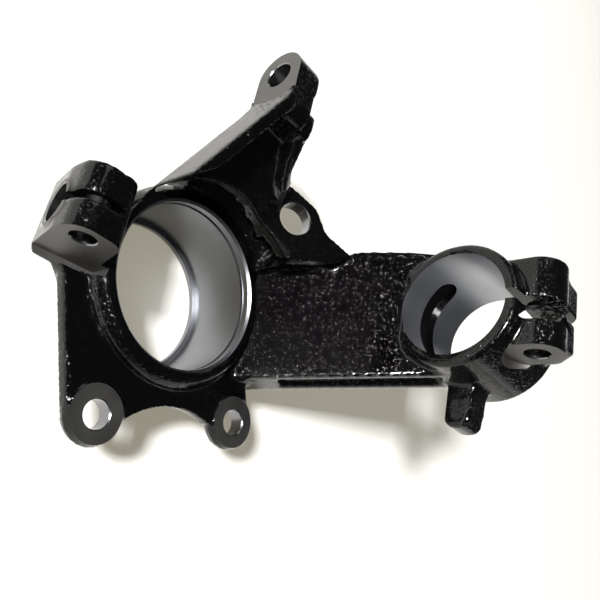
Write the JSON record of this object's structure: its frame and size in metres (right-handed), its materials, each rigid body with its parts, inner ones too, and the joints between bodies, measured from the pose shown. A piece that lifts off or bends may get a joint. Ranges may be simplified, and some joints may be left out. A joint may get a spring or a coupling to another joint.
{
  "type": "steering knuckle",
  "caption": "Cast steering knuckle with a wheel bearing bore, caliper lugs, ball-joint boss, steering arm and a split strut clamp.",
  "frame": {"origin": "on the wheel bearing's axis, in the plane of the hub's inboard rim", "axes": "+X to the brake caliper, +Y up the strut, +Z inboard along the bearing's axis"},
  "size_m": [0.2021, 0.2222, 0.1843],
  "materials": {
    "casting": "gloss black paint over the cast skin, bare machined seats"
  },
  "bodies": {
    "root": {"knuckle_casting": "casting"}
  },
  "joints": []
}
